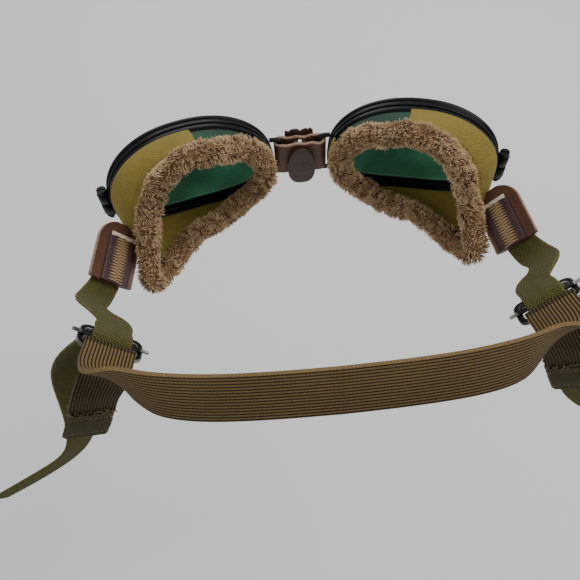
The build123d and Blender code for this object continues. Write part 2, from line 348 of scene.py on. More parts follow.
# %% Leather
def leather(name, deep, warm, edge, rubbed):
    hide = Finish(name, Coat_Weight=0.12, Coat_Roughness=0.35)
    place = hide.node("ShaderNodeTexCoord", output="Object")
    cells = hide.node(
        "ShaderNodeTexVoronoi", {"feature": "DISTANCE_TO_EDGE"}, {"Vector": place, "Scale": 1 / (0.9 * MM)}
    )
    grain = hide.step(cells, 0.0, 0.22)
    patches = hide.cloud(6, 4)
    scuffs = hide.cloud(1.1, 5, (1, 4, 1))
    body = hide.dye(patches * 0.7 + grain * 0.35, deep, warm)
    worn = hide.step(hide.wear() * rubbed + scuffs * 0.55, 0.72, 1.0)
    roughness = 0.38 + scuffs * 0.3 + worn * 0.1
    return hide.coat(hide.dye(worn, body, edge), roughness, grain * 0.5 + scuffs, 0.12)


brown_leather = leather(
    "brown_leather", (0.045, 0.015, 0.007), (0.165, 0.064, 0.030), (0.40, 0.25, 0.17), 0.62
)
dark_leather = leather(
    "dark_leather", (0.014, 0.006, 0.004), (0.060, 0.024, 0.015), (0.24, 0.15, 0.11), 0.55
)
strip_leather = leather(
    "dark_leather_strip", (0.020, 0.008, 0.008), (0.075, 0.030, 0.026), (0.26, 0.15, 0.12), 0.4
)
print("leathers made")

# %% [markdown]
# Thread is twisted, so fine light and dark flecks run along it. The clip inside the bridge is
# bare steel, scratched by handling and dulled in patches.


# %% Thread and bare steel
def thread(name, dark, light):
    yarn = Finish(name, Sheen_Weight=0.1)
    twist = yarn.cloud(0.5, 2, (1, 1, 2))
    return yarn.coat(yarn.dye(twist, dark, light), 0.6 + twist * 0.2, twist, 0.08)


def bare_steel():
    metal = Finish("clip_steel", Metallic=1.0)
    scratches = metal.cloud(0.7, 4, (1, 1, 8))
    tarnish = metal.cloud(3, 3)
    colour = metal.dye(tarnish, (0.50, 0.48, 0.46), (0.86, 0.84, 0.80))
    return metal.coat(colour, 0.16 + scratches * 0.3, scratches, 0.02)


gold_thread = thread("gold_thread", (0.25, 0.135, 0.05), (0.60, 0.42, 0.21))
cream_thread = thread("cream_thread", (0.58, 0.43, 0.33), (0.88, 0.78, 0.66))
olive_thread = thread("olive_thread", (0.10, 0.08, 0.02), (0.24, 0.19, 0.06))
clip_steel = bare_steel()
print("thread and steel made")

# %% [markdown]
# Pile is darkest at its roots, a painted shade where light hardly reaches, and palest at its tips,
# partly the wool's own tint and partly a painted highlight. Every lock stores how far along it
# each point is in `wear`, and its own tint in `lay`.


# %% Curly pile
def curly_pile():
    wool = Finish("brown_pile", Sheen_Weight=0.25, Sheen_Roughness=0.6, Specular_IOR_Level=0.1)
    tint, _, _ = wool.lay()
    height = wool.wear()
    fade = wool.cloud(7, 2)
    # `root` is a painted shade at the base of the locks; the pale `tip` colours are partly a painted
    # highlight.
    root = (0.095, 0.042, 0.014)
    middle = wool.dye(fade, (0.22, 0.108, 0.038), (0.36, 0.195, 0.075))
    tip = wool.dye(tint, (0.46, 0.275, 0.120), (0.88, 0.66, 0.38))
    lower = wool.dye(wool.step(height, 0.0, 0.5), root, middle)
    return wool.coat(wool.dye(wool.step(height, 0.35, 1.0), lower, tip), 0.75 + tint * 0.15)


brown_pile = curly_pile()
print("pile made")

# %% [markdown]
# Most of the goggles are sections carried along a line: rims, straps, leather and thread. So
# one Shape collects such skins as rows of points, each row a closed section, and turns them
# into one mesh. It also stores two numbers per point that the finishes read: `lay`, how far
# along and across the point is, and `wear`, how much that spot gets rubbed; on the pile, `wear`
# holds how far up a lock a point is, which sets its painted root shade.


# %% Skins into a mesh
class Shape:
    """Closed skins in millimetres, collected into one piece."""

    def __init__(self):
        self.points, self.faces, self.lays, self.wears, self.count = [], [], [], [], 0

    def add(self, rows, ring=False, caps=True, round_rows=True, lay=None, wear=None):
        """rows is (rows, points round, 3). A ring joins its last row to its first."""
        rows = np.asarray(rows, float)
        n, m = rows.shape[:2]
        i = np.arange(n if ring else n - 1)[:, None]
        j = np.arange(m if round_rows else m - 1)[None, :]
        here, ahead = i * m, ((i + 1) % n) * m
        quads = [here + j, here + (j + 1) % m, ahead + (j + 1) % m, ahead + j]
        faces = (np.stack(quads, axis=-1).reshape(-1, 4) + self.count).tolist()
        if caps and not ring:
            faces.append(list(range(self.count, self.count + m)))
            faces.append(list(range(self.count + (n - 1) * m, self.count + n * m)))
        self.points.append(rows.reshape(-1, 3))
        self.faces += faces
        self.lays.append(np.zeros((n * m, 3)) if lay is None else np.asarray(lay, float).reshape(-1, 3))
        self.wears.append(np.zeros(n * m) if wear is None else np.broadcast_to(wear, (n, m)).reshape(-1))
        self.count += n * m
        return self

    def piece(self, name, finish, side=1, sharp=40):
        mesh = bpy.data.meshes.new(name)
        mesh.from_pydata(np.concatenate(self.points) * (side * MM, MM, MM), [], self.faces)
        lay = mesh.attributes.new("lay", "FLOAT_VECTOR", "POINT")
        lay.data.foreach_set("vector", np.concatenate(self.lays).astype(np.float32).ravel())
        wear = mesh.attributes.new("wear", "FLOAT", "POINT")
        wear.data.foreach_set("value", np.concatenate(self.wears).astype(np.float32))
        tidy = bmesh.new()
        tidy.from_mesh(mesh)
        bmesh.ops.recalc_face_normals(tidy, faces=tidy.faces)
        tidy.to_mesh(mesh)
        tidy.free()
        mesh.shade_smooth()
        mesh.set_sharp_from_angle(angle=radians(sharp))
        mesh.materials.append(finish.material)
        made = bpy.data.objects.new(name, mesh)
        bpy.context.scene.collection.objects.link(made)
        return made


def hand_over(piece, body, slot, *nodes):
    """Puts a finished piece on its body and hides the plain solids that it stands for."""
    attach(piece, body)
    if nodes:
        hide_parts(*nodes)
    print(piece.name, "on", body, "points", len(piece.data.vertices))
    return piece


# %% [markdown]
# A strap is a flat section carried along a route. The route is a smooth curve through a few
# stations, each with the way that the strap's width lies there, cut into even steps.


# %% Sections and routes
def unit(vectors):
    return vectors / np.linalg.norm(vectors, axis=-1, keepdims=True)


def soft_box(width, height, corner, longest=1.2, steps=3):
    """A rounded box section with its flats divided, and how exposed each point is."""
    points, wear = [], []
    for quarter, (x, y) in enumerate(((1, 1), (-1, 1), (-1, -1), (1, -1))):
        for k in range(steps + 1):
            turn = (quarter + k / steps) * pi / 2
            middle = (x * (width / 2 - corner), y * (height / 2 - corner))
            points.append((middle[0] + corner * cos(turn), middle[1] + corner * sin(turn)))
            wear.append(1.0)
    full, full_wear = [], []
    for k, start in enumerate(points):
        end = points[(k + 1) % len(points)]
        parts = max(1, round(sqrt((end[0] - start[0]) ** 2 + (end[1] - start[1]) ** 2) / longest))
        for part in range(parts):
            share = part / parts
            full.append([a + (b - a) * share for a, b in zip(start, end)])
            full_wear.append(1.0 if part == 0 else 0.0)
    return np.array(full), np.array(full_wear)


def spline(knots, values, at):
    """A smooth curve through values at the knots, read at other places."""
    n, gap = len(knots), np.diff(knots)
    system, pull = np.eye(n), np.zeros_like(values)
    for i in range(1, n - 1):
        system[i, i - 1:i + 2] = gap[i - 1], 2 * (gap[i - 1] + gap[i]), gap[i]
        pull[i] = 6 * ((values[i + 1] - values[i]) / gap[i] - (values[i] - values[i - 1]) / gap[i - 1])
    bend = np.linalg.solve(system, pull)
    k = np.clip(np.searchsorted(knots, at, side="right") - 1, 0, n - 2)
    g = gap[k][:, None]
    a, b = (knots[k + 1] - at)[:, None] / g, (at - knots[k])[:, None] / g
    curve = a * values[k] + b * values[k + 1]
    return curve + ((a ** 3 - a) * bend[k] + (b ** 3 - b) * bend[k + 1]) * g ** 2 / 6


def route(stations, step):
    """Even steps along a smooth curve through stations, each a point and the way its width lies."""
    values = np.array([(*point, *side) for point, side in stations], float)
    knots = np.concatenate([[0], np.cumsum(np.linalg.norm(np.diff(values[:, :3], axis=0), axis=1))])
    fine = spline(knots, values, np.linspace(0, knots[-1], 1200))
    run = np.concatenate([[0], np.cumsum(np.linalg.norm(np.diff(fine[:, :3], axis=0), axis=1))])
    even = np.linspace(0, run[-1], max(4, round(run[-1] / step)))
    path = np.stack([np.interp(even, run, fine[:, k]) for k in range(6)], axis=1)
    return path[:, :3], path[:, 3:], even


def carried(path, side, section):
    """A section carried along a path. Its first number lies along `side`, its second square to it."""
    tangent = unit(np.gradient(path, axis=0))
    across = unit(side - (side * tangent).sum(1, keepdims=True) * tangent)
    normal = np.cross(tangent, across)
    section = np.broadcast_to(section, (len(path), *section.shape[-2:]))
    return path[:, None] + section[..., :1] * across[:, None] + section[..., 1:] * normal[:, None]


def strap_lay(even, section):
    """The lay of every point of a carried section."""
    n, m = len(even), section.shape[-2]
    flat = np.broadcast_to(section, (n, m, 2))
    return np.dstack([np.broadcast_to(even[:, None], (n, m)), flat[..., 0], flat[..., 1]])


def round_section(radius, sides, squash=1.0):
    turn = np.arange(sides) * 2 * pi / sides
    return np.stack([np.cos(turn) * radius, np.sin(turn) * radius * squash], axis=1)


print("section helpers ready")

# %% [markdown]
# Each eyepiece has its own frame: u runs out to the temple, v back towards the face, z up.
# The rim's outline is a soft oval, and everything in front follows a cylinder with an upright
# axis, so one formula places the rim, the lens, the clamp ring and the cloth.

# %% The eyepiece's frame
EYE_X = 50.6
FACE_FORM = radians(14)
HALF_WIDTH = 37.5
HALF_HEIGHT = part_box("left_eyewire")[1].z / MM
LENS_RADIUS = 95.0
OVAL_POWER = 2.4


def oval(angle, a, b, power):
    return (np.abs(np.cos(angle) / a) ** power + np.abs(np.sin(angle) / b) ** power) ** (-1 / power)


def layer_v(u, front):
    return LENS_RADIUS - np.sqrt((LENS_RADIUS - front) ** 2 - u ** 2)


def to_face(u, v, z):
    """From the eyepiece's frame to the goggles' frame."""
    x = EYE_X + u * cos(FACE_FORM) - v * sin(FACE_FORM)
    y = u * sin(FACE_FORM) + v * cos(FACE_FORM)
    return np.stack([x, y, z + 0 * u], axis=-1)


def rim_point(angle, grow, front):
    """A point of the curved oval: grow is how far outside the rim's edge, front how far back."""
    radius = oval(angle, HALF_WIDTH + grow, HALF_HEIGHT + grow, OVAL_POWER)
    u = radius * np.cos(angle)
    return to_face(u, layer_v(u, front), radius * np.sin(angle))


def rim_skin(angles, section):
    grow, front = np.array(section).T
    return rim_point(angles[:, None], grow[None, :], front[None, :])


print("rim is", 2 * HALF_WIDTH, "by", round(2 * HALF_HEIGHT, 1), "mm")

# %% [markdown]
# The rim is one rolled channel with two tiers: a proud bead in front and a lower one behind,
# with the lens in its groove. It is split at the temple, where two barrels take the closing
# screw, and a round bail at the nose end passes through the leather loop.

# %% Rims
RIM_SECTION = [
    (-0.45, -2.3), (-0.12, -2.12), (0.02, -1.75), (0.02, -0.85), (-0.12, -0.55), (-0.42, -0.42), (-0.5, -0.1),
    (-0.5, 0.85), (-0.38, 1.1), (-0.16, 1.25), (-0.1, 1.6), (-0.16, 2.0), (-0.42, 2.25), (-0.8, 2.3),
    (-2.4, 2.3), (-2.85, 2.12), (-3.0, 1.75), (-3.0, 1.15), (-1.4, 1.15), (-1.4, -1.15), (-3.0, -1.15),
    (-3.0, -1.8), (-2.85, -2.15), (-2.4, -2.3),
]
RIM_WEAR = [1 if (g > -0.2 or g < -2.9) and abs(f) > 1.5 else 0 for g, f in RIM_SECTION]
SPLIT = 0.6
BORE = 1.22                  # of the barrels, round the closing screw
BARREL_U = HALF_WIDTH + 1.6
TEMPLE_V = float(layer_v(np.array(HALF_WIDTH), 0))
FOLD_X, FOLD_Y = 8.4, -1.5


def lathe(shape, profile, u, v, sides=36):
    """A turned part with an upright axis: profile is radius and height, closed."""
    turn = np.arange(sides) * 2 * pi / sides
    radius, height = np.array(profile).T
    u_all, v_all = u + np.cos(turn)[:, None] * radius, v + np.sin(turn)[:, None] * radius
    return shape.add(to_face(u_all, v_all, height[None, :] + 0 * turn[:, None]), ring=True)


def bail_route():
    """From inside the rim's upper corner, down the fold bar, and back to the lower corner."""
    top = 9.6
    reach = EYE_X - HALF_WIDTH * cos(FACE_FORM) - TEMPLE_V * sin(FACE_FORM) + 1.2
    bend = [(11.2, top), (9.9, top - 0.1), (9.0, top - 0.6), (8.5, top - 1.4), (FOLD_X, top - 2.6)]
    half = [(reach, top), *bend, (FOLD_X, 3)]
    return [((x, FOLD_Y, z), (0, 1, 0)) for x, z in half + [(x, -z) for x, z in reversed(half)]]


def rim(side_name, side):
    shape = Shape()
    start = asin(SPLIT / HALF_WIDTH)
    angles = np.linspace(start, 2 * pi - start, 200)
    shape.add(rim_skin(angles, RIM_SECTION), wear=np.array(RIM_WEAR)[None, :])
    for z in (1, -1):
        near, far = SPLIT * z, (SPLIT + 5.6) * z
        outside = [(2.3, near), (2.5, near + 0.25 * z), (2.5, far - 0.4 * z), (2.2, far)]
        lathe(shape, [(BORE, near), *outside, (BORE, far)], BARREL_U, TEMPLE_V)
    path, width, even = route(bail_route(), 0.5)
    arm = np.clip((np.abs(path[:, 2]) - 6.5) / 2.5, 0, 1)[:, None]
    scale = np.stack([1.5 - 0.3 * arm, 1.5 - 0.65 * arm], axis=-1)
    shape.add(carried(path, width, round_section(1.0, 16)[None] * scale), wear=0.4)
    made = shape.piece(f"{side_name}_rim", black_paint, side)
    return hand_over(made, f"{side_name}_eyepiece", "black_paint", f"{side_name}_eyewire")


for side_name, side in SIDES:
    rim(side_name, side)

# %% [markdown]
# The clamp ring behind the rim holds the canvas. The lens is a bent disc: rings of points from
# its middle to its edge on the front and back faces, so that reflections run smoothly over it.

# %% Clamp rings and lenses
RING_SECTION = [
    (-0.5, 2.95), (-0.5, 4.4), (-0.62, 4.75), (-0.95, 4.93), (-1.75, 4.93), (-2.08, 4.75), (-2.2, 4.4),
    (-2.2, 2.95), (-2.08, 2.65), (-1.75, 2.55), (-0.95, 2.55), (-0.62, 2.65),
]
LENS_GROW = -1.55
LENS_RINGS = [0.02, 0.2, 0.4, 0.6, 0.75, 0.88, 0.96, 1.0]


def clamp_ring(side_name, side):
    angles = np.arange(200) * 2 * pi / 200
    wear = np.array([1 if f > 4.5 else 0 for _, f in RING_SECTION])[None, :]
    shape = Shape().add(rim_skin(angles, RING_SECTION), ring=True, wear=wear)
    made = shape.piece(f"{side_name}_clamp_ring", black_paint, side)
    return hand_over(made, f"{side_name}_eyepiece", "black_paint", f"{side_name}_cup_ring")


def lens(side_name, side):
    angles = np.arange(128) * 2 * pi / 128
    edge = oval(angles, HALF_WIDTH + LENS_GROW, HALF_HEIGHT + LENS_GROW, OVAL_POWER)
    rows = []
    for front, shares in ((-1.0, LENS_RINGS), (1.0, LENS_RINGS[::-1])):
        for share in shares:
            u = edge * share * np.cos(angles)
            rows.append(to_face(u, layer_v(u, front), edge * share * np.sin(angles)))
    made = Shape().add(rows).piece(f"{side_name}_lens_glass", green_lens, side)
    return hand_over(made, f"{side_name}_eyepiece", "green_lens", f"{side_name}_lens")


for side_name, side in SIDES:
    clamp_ring(side_name, side)
    lens(side_name, side)
    for node in ("closing_screw", "closing_nut"):
        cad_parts[f"{side_name}_{node}"].data.materials.clear()
        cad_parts[f"{side_name}_{node}"].data.materials.append(buckle_steel.material)

# %% [markdown]
# Later cells lay stitches on finished cloth, so this reads a mesh's points back as an array.


# %% Reading points back
def points_of(mesh):
    flat = np.zeros(len(mesh.vertices) * 3)
    mesh.vertices.foreach_get("co", flat)
    return flat.reshape(-1, 3)


# %% [markdown]
# The pile edging runs from the cheek corner up the temple, over the brow and down by the nose.
# Its line is a few stations round the eye, joined smoothly, and each spot on it has its own
# frame, square to the line. The canvas is a cloth wall from the clamp ring to that line, and it
# leaves the top nose corner open, so the lens shows there between the rim and the pile.

# %% The edging's line
PILE_RADIUS = 4.7
PILE_RISE = 1.0
EDGING = np.array([
    (-27, 33.6, 45.8), (-8, 27.2, 37.0), (22, 23.4, 29.0), (50, 24.6, 27.0), (72, 28.0, 27.8),
    (93, 31.6, 28.6), (114, 29.2, 25.0), (138, 29.4, 20.0), (162, 31.4, 20.4), (180, 29.0, 21.0),
    (208, 23.5, 18.5), (235, 22.0, 18.0), (262, 21.5, 19.5), (291, 22.5, 23.5), (314, 28.5, 35.0),
])


def pile_line(angle):
    """Distance from the eye's axis, and how far back, all round the edging."""
    turns = radians(360)
    first = np.radians(EDGING[:, 0])
    at = np.concatenate([first - turns, first, first + turns])
    values = np.tile(EDGING[:, 1:], (3, 1))
    slope = (values[2:] - values[:-2]) / (at[2:] - at[:-2])[:, None]
    angle = first[0] + (angle - first[0]) % turns
    k = np.searchsorted(at, angle, side="right") - 1
    span = (at[k + 1] - at[k])[..., None]
    t = ((angle - at[k])[..., None]) / span
    curve = values[k] + (values[k + 1] - values[k]) * (3 * t ** 2 - 2 * t ** 3)
    curve = curve + span * (slope[k - 1] * (t - 2 * t ** 2 + t ** 3) + slope[k] * (t ** 3 - t ** 2))
    return curve[..., 0], curve[..., 1]


def turned(angle, radius, v):
    """A point of the cup from its angle round the eye's axis."""
    return to_face(radius * np.cos(angle), v, PILE_RISE + radius * np.sin(angle))


def edging_frame(angle):
    """The line's point at an angle, the way out from the eye there, and the way back."""
    radius, v = pile_line(angle)
    middle = turned(angle, radius, v)
    ahead, behind = angle + 0.02, angle - 0.02
    along = unit(turned(ahead, *pile_line(ahead)) - turned(behind, *pile_line(behind)))
    out = turned(angle, radius + 1, v) - middle
    out = unit(out - (out * along).sum(-1, keepdims=True) * along)
    rear = np.cross(out, along)
    facing = np.sign((rear * (turned(angle, radius, v + 1) - middle)).sum(-1, keepdims=True))
    return middle, out, rear * facing

print("edging line has", len(EDGING), "stations")

# %% [markdown]
# The cloth is sewn at the ring and at the pile. It swells a little half way, and the gathers of
# the pile's seam show as soft folds near its rear edge. Both are formulas that push the wall out
# along its own normal: no cloth simulation shapes it. Its flat area is read off the drawn wall,
# so it can't show whether the cloth has been stretched.

# %% Canvas cups
CUP_ROWS = 26
CLOTH_THICKNESS = 0.9
MM_PER_RADIAN = 31.0         # round the cup, for the weave's scale
GATHERS = 21
CLOTH_FROM, CLOTH_TO = radians(-198), radians(97)


def cup_wall():
    """The cloth's points, from the ring to the edging, with their lay."""
    angles = np.linspace(CLOTH_FROM, CLOTH_TO, 200)
    first = oval(angles, HALF_WIDTH - 1.4, HALF_HEIGHT - 1.4, OVAL_POWER)
    start = np.stack([first, layer_v(first * np.cos(angles), 5.2)], axis=1)
    end = np.stack(pile_line(angles), axis=1)
    reach = np.linalg.norm(end - start, axis=1, keepdims=True)
    along = (end - start) / reach
    out = np.stack([along[:, 1], -along[:, 0]], axis=1)
    share = np.linspace(0, 1, CUP_ROWS)[:, None, None]
    wall = start + along * (reach - PILE_RADIUS + 1.0) * share
    folds = np.sin(angles * GATHERS + 1.3 * np.sin(angles * 5)) * (0.55 + 0.45 * np.sin(angles * 3 + 1))
    swell = 1.5 * np.sin(pi * share) + 0.5 * share ** 2 * folds[None, :, None]
    wall = wall + out * swell
    points = turned(angles[None, :], wall[..., 0], wall[..., 1])
    around = np.broadcast_to(angles * MM_PER_RADIAN, points.shape[:2])
    lay = np.dstack([around, share[..., 0] * reach[:, 0], 0 * points[..., 0]])
    return points, lay


def canvas_cup(side_name, side):
    points, lay = cup_wall()
    shape = Shape().add(points, caps=False, round_rows=False, lay=lay)
    made = shape.piece(f"{side_name}_canvas", olive_canvas, side, sharp=80)
    thick = made.modifiers.new("cloth_thickness", "SOLIDIFY")
    thick.thickness, thick.offset = CLOTH_THICKNESS * MM, 0
    hand_over(made, f"{side_name}_eyepiece", "olive_canvas", f"{side_name}_canvas_cup")
    return made


for side_name, side in SIDES:
    canvas_cup(side_name, side)


# %% [markdown]
# The pile is short curly wool on a stuffed roll. The roll is a lumpy tube from a formula. The wool is
# made of thousands of small tapered locks that share a lean within each clump, so it reads as
# clumps with dark gaps and light tips rather than as even bristles.

# %% Stuffed rolls
ROLL_RADIUS = 3.5


def stuffed_roll(side_name, side):
    angles = np.arange(132) * 2 * pi / 132
    middle, out, rear = [part[:, None] for part in edging_frame(angles)]
    turn = np.arange(20) * 2 * pi / 20
    bumps = 0.35 * np.sin(angles * 17 + 2 * np.sin(angles * 4))[:, None] * np.cos(turn * 2)[None, :]
    lump = ROLL_RADIUS + bumps
    rows = middle + out * (lump * np.cos(turn))[..., None] + rear * (lump * np.sin(turn))[..., None]
    lay = np.dstack([np.full(lump.shape, 0.2), angles[:, None] + 0 * lump, 0 * lump])
    # wear 0.3 gives the roll the pile's darker lower colour, a painted shade beneath the locks.
    shape = Shape().add(rows, ring=True, lay=lay, wear=0.3)
    made = shape.piece(f"{side_name}_pile_roll", brown_pile, side, sharp=80)
    hand_over(made, f"{side_name}_eyepiece", "brown_pile", f"{side_name}_pile_edging")
    return made


# %% [markdown]
# One lock is a small tapered tube of five rings. It grows out of the roll, leans with its clump
# and curls over. A hair system would look the same here, but a mesh can be exported.

# %% Curly locks
LOCKS = 7000
BATCHES = 2
CLUMPS = 420
CLUMP_SEED = 7
LOCK_MIDDLE = 4.4            # from the roll's own middle out to half way up the locks
LOCK_RINGS = ((0.0, 0.20), (0.28, 0.25), (0.55, 0.22), (0.8, 0.16), (1.0, 0.04))


def curly_locks(side_name, side, batch):
    draw = np.random.default_rng((71 if side > 0 else 72) + 10 * batch)
    angle = draw.uniform(0, 2 * pi, LOCKS)
    turn = draw.uniform(0, 2 * pi, LOCKS)
    shared = np.random.default_rng(CLUMP_SEED + side)
    clump_at = np.stack([shared.uniform(0, 2 * pi, CLUMPS), shared.uniform(0, 2 * pi, CLUMPS)], axis=1)
    clump_lean = unit(shared.normal(size=(CLUMPS, 3)))
    clump_tall = shared.uniform(0.7, 1.2, CLUMPS)
    clump_tint = shared.uniform(0.0, 1.0, CLUMPS)
    away = np.abs(np.stack([angle, turn], axis=1)[:, None] - clump_at[None])
    away = np.minimum(away, 2 * pi - away) * (MM_PER_RADIAN, LOCK_MIDDLE)
    own = (away ** 2).sum(2).argmin(1)
    middle, out, rear = edging_frame(angle)
    straight = out * np.cos(turn)[:, None] + rear * np.sin(turn)[:, None]
    root = middle + straight * (ROLL_RADIUS - 0.5)
    grow = unit(straight + 0.62 * clump_lean[own] + 0.14 * draw.normal(size=(LOCKS, 3)))
    curl = unit(np.cross(grow, unit(clump_lean[own] + 0.6 * draw.normal(size=(LOCKS, 3)))))
    other = np.cross(grow, curl)
    tall = 3.3 * clump_tall[own] * draw.uniform(0.75, 1.15, LOCKS)
    twist = draw.uniform(0, 2 * pi, LOCKS)
    sweep = draw.uniform(2.6, 4.4, LOCKS)
    rings, wears = [], []
    for share, thick in LOCK_RINGS:
        swing = 0.5 * share ** 1.3
        spot = root + grow * (tall * (share - 0.15 * share ** 2))[:, None]
        spot = spot + curl * (swing * np.cos(sweep * share))[:, None]
        spot = spot + other * (swing * np.sin(sweep * share))[:, None]
        for k in range(3):
            around = twist + k * 2 * pi / 3
            edge = curl * np.cos(around)[:, None] + other * np.sin(around)[:, None]
            rings.append(spot + edge * thick)
            wears.append(np.full(LOCKS, share))
    points = np.stack(rings, axis=1).reshape(LOCKS, len(LOCK_RINGS), 3, 3)
    wear = np.stack(wears, axis=1).reshape(LOCKS, len(LOCK_RINGS), 3)
    tint = np.clip(0.75 * clump_tint[own] + 0.25 * draw.uniform(0, 1, LOCKS), 0, 1)
    shape = Shape()
    for k in range(LOCKS):
        lay = np.tile((tint[k], 0, 0), (len(LOCK_RINGS) * 3, 1))
        shape.add(points[k], lay=lay, wear=wear[k])
    made = shape.piece(f"{side_name}_pile_locks_{batch + 1}", brown_pile, side, sharp=180)
    return hand_over(made, f"{side_name}_eyepiece", "brown_pile")


for side_name, side in SIDES:
    stuffed_roll(side_name, side)
    for batch in range(BATCHES):
        curly_locks(side_name, side, batch)

# %% [markdown]
# The bridge is one leather loop round both bails, with a steel strip holding its two layers
# apart. It is a band carried round a long oval, drawn in at the middle, with a hand-cut edge.

# %% Bridge loop
LOOP_RADIUS = 2.55
LOOP_THICKNESS = 1.5
LOOP_HEIGHT = 16.4


def loop_line():
    """The middle of the leather, once round both bars."""
    straight = np.linspace(-FOLD_X, FOLD_X, 26)[1:-1]
    bend = np.linspace(-pi / 2, pi / 2, 14)
    waist = 0.45 * np.cos(straight / FOLD_X * pi / 2) ** 2
    right_end = np.stack([FOLD_X + LOOP_RADIUS * np.cos(bend), LOOP_RADIUS * np.sin(bend)], axis=1)
    rear = np.stack([straight[::-1], LOOP_RADIUS - waist], axis=1)
    front = np.stack([straight, -LOOP_RADIUS + waist], axis=1)
    ring = np.concatenate([right_end, rear, -right_end, front])
    return np.column_stack([ring[:, 0], ring[:, 1] + FOLD_Y])


def bridge_loop():
    ring = loop_line()
    ahead, behind = np.roll(ring, -1, axis=0), np.roll(ring, 1, axis=0)
    tangent = unit(ahead - behind)
    outward = np.column_stack([tangent[:, 1], -tangent[:, 0]])
    section, wear = soft_box(LOOP_THICKNESS, LOOP_HEIGHT, 0.35, 1.1)
    x = ring[:, :1]
    top_edge = 0.28 * np.sin(x * 0.9) + 0.35 * np.cos(x * 0.37) ** 2 * (ring[:, 1:] < FOLD_Y)
    rise = section[None, :, 1] + np.clip(section[None, :, 1] / LOOP_HEIGHT * 2, 0, 1) * top_edge
    spread = section[None, :, 0]
    rows = np.dstack([
        ring[:, :1] + outward[:, :1] * spread, ring[:, 1:] + outward[:, 1:] * spread, rise,
    ])
    made = Shape().add(rows, ring=True, wear=wear[None, :]).piece("bridge_loop", brown_leather)
    return hand_over(made, "harness", "brown_leather", "bridge_strap")


bridge_loop()
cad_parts["bridge_clip"].data.materials.clear()
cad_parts["bridge_clip"].data.materials.append(clip_steel.material)


# %% [markdown]
# The ridge in front and the nose guard behind are flat patches with shaped edges. Each is made
# as upright slices from side to side, so a formula for the top and bottom edge cuts the shape.

# %% Ridge and nose guard
def patch(name, node, finish, slot, top, bottom, bow, thickness, corner=0.4, slices=44):
    """Leather between a top and a bottom edge, given as functions of x, bowed in y."""
    low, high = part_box(node)
    middle, half = (low + high) / 2 / MM, (high - low).x / 2 / MM
    x = np.sin(np.linspace(-pi / 2, pi / 2, slices)) * (half - 0.15)
    section, wear = soft_box(thickness, 1.0, min(corner, 0.3), 0.06)
    height = (top(x) - bottom(x))[:, None]
    z = bottom(x)[:, None] + (section[None, :, 1] + 0.5) * height
    y = middle.y + bow(x)[:, None] + section[None, :, 0] + 0 * z
    rows = np.dstack([x[:, None] + 0 * z, y, z])
    ends = np.where((np.arange(slices) < 3) | (np.arange(slices) > slices - 4), 1.0, 0.0)
    made = Shape().add(rows, wear=np.maximum(wear[None, :], ends[:, None])).piece(name, finish)
    return hand_over(made, "harness", slot, node)


def ridge_top(x):
    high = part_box("bridge_ridge")[1].z / MM
    notches = sum(0.95 * np.exp(-(((x - at) / 0.55) ** 2)) for at in (-4.1, -0.6, 4.6))
    return high + 0.25 * np.sin(x * 1.1) - notches - 1.6 * (np.abs(x) / 6.5) ** 6


def guard_curve(sign):
    low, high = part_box("nose_guard")
    middle, half = (low + high).z / 2 / MM, (high - low).z / 2 / MM
    rounded = lambda x: (1 - np.clip(np.abs(x) / 6.3, 0, 1) ** 2.6) ** 0.5
    return lambda x: middle + sign * half * rounded(x) * 0.98 + 0.02 * sign


patch("ridge_leather", "bridge_ridge", dark_leather, "dark_leather", ridge_top,
      lambda x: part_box("bridge_ridge")[0].z / MM + 0.2 + 0 * x, lambda x: 0.25 * np.cos(x * 0.5), 1.3)
patch("nose_flap", "nose_guard", dark_leather, "dark_leather", guard_curve(1), guard_curve(-1),
      lambda x: 0.9 * (np.abs(x) / 6.2) ** 2 - 0.2, 1.5)

# %% [markdown]
# Each temple tab is a round-ended leather leaf that curls up at its edges, with a darker strip
# on its inner face. A dense zigzag of gold thread holds them, closed by a cream bar of thread.

# %% Temple tabs
TAB_CENTRE = np.array((81.5, 44.2, -1.6))
TAB_X = unit(np.array((0.17, 0.97, -0.15)))
TAB_UP = np.array((-0.72, 0.2, 0.66))
TAB_N = unit(TAB_UP - TAB_UP.dot(TAB_X) * TAB_X)
TAB_Y = np.cross(TAB_N, TAB_X)
LEAF_LENGTH, LEAF_WIDTH, LEAF_THICKNESS = 27.0, 19.0, 1.8
STRIP_LENGTH, STRIP_WIDTH, STRIP_THICKNESS = 21.0, 12.0, 1.4
STRIP_SHIFT = 1.6            # the strip and its stitches lie nearer the leaf's lower edge
STRIP_FACE = LEAF_THICKNESS / 2 + STRIP_THICKNESS


def on_tab(x, y, n):
    """From the tab's own frame: x to the back, y across, n off its inner face."""
    return TAB_CENTRE + x[..., None] * TAB_X + y[..., None] * TAB_Y + n[..., None] * TAB_N


def slab(x, half, section, lift, shift=0.0):
    """Slices across the tab at x, half as wide as `half` says; lift bends a point by its x and y."""
    scale = half / half.max()
    y = section[None, :, 0] * scale[:, None] + shift
    flat = np.minimum(1, scale * 4)[:, None] * section[None, :, 1]
    return on_tab(x[:, None] + 0 * y, y, flat + lift(x[:, None], y))


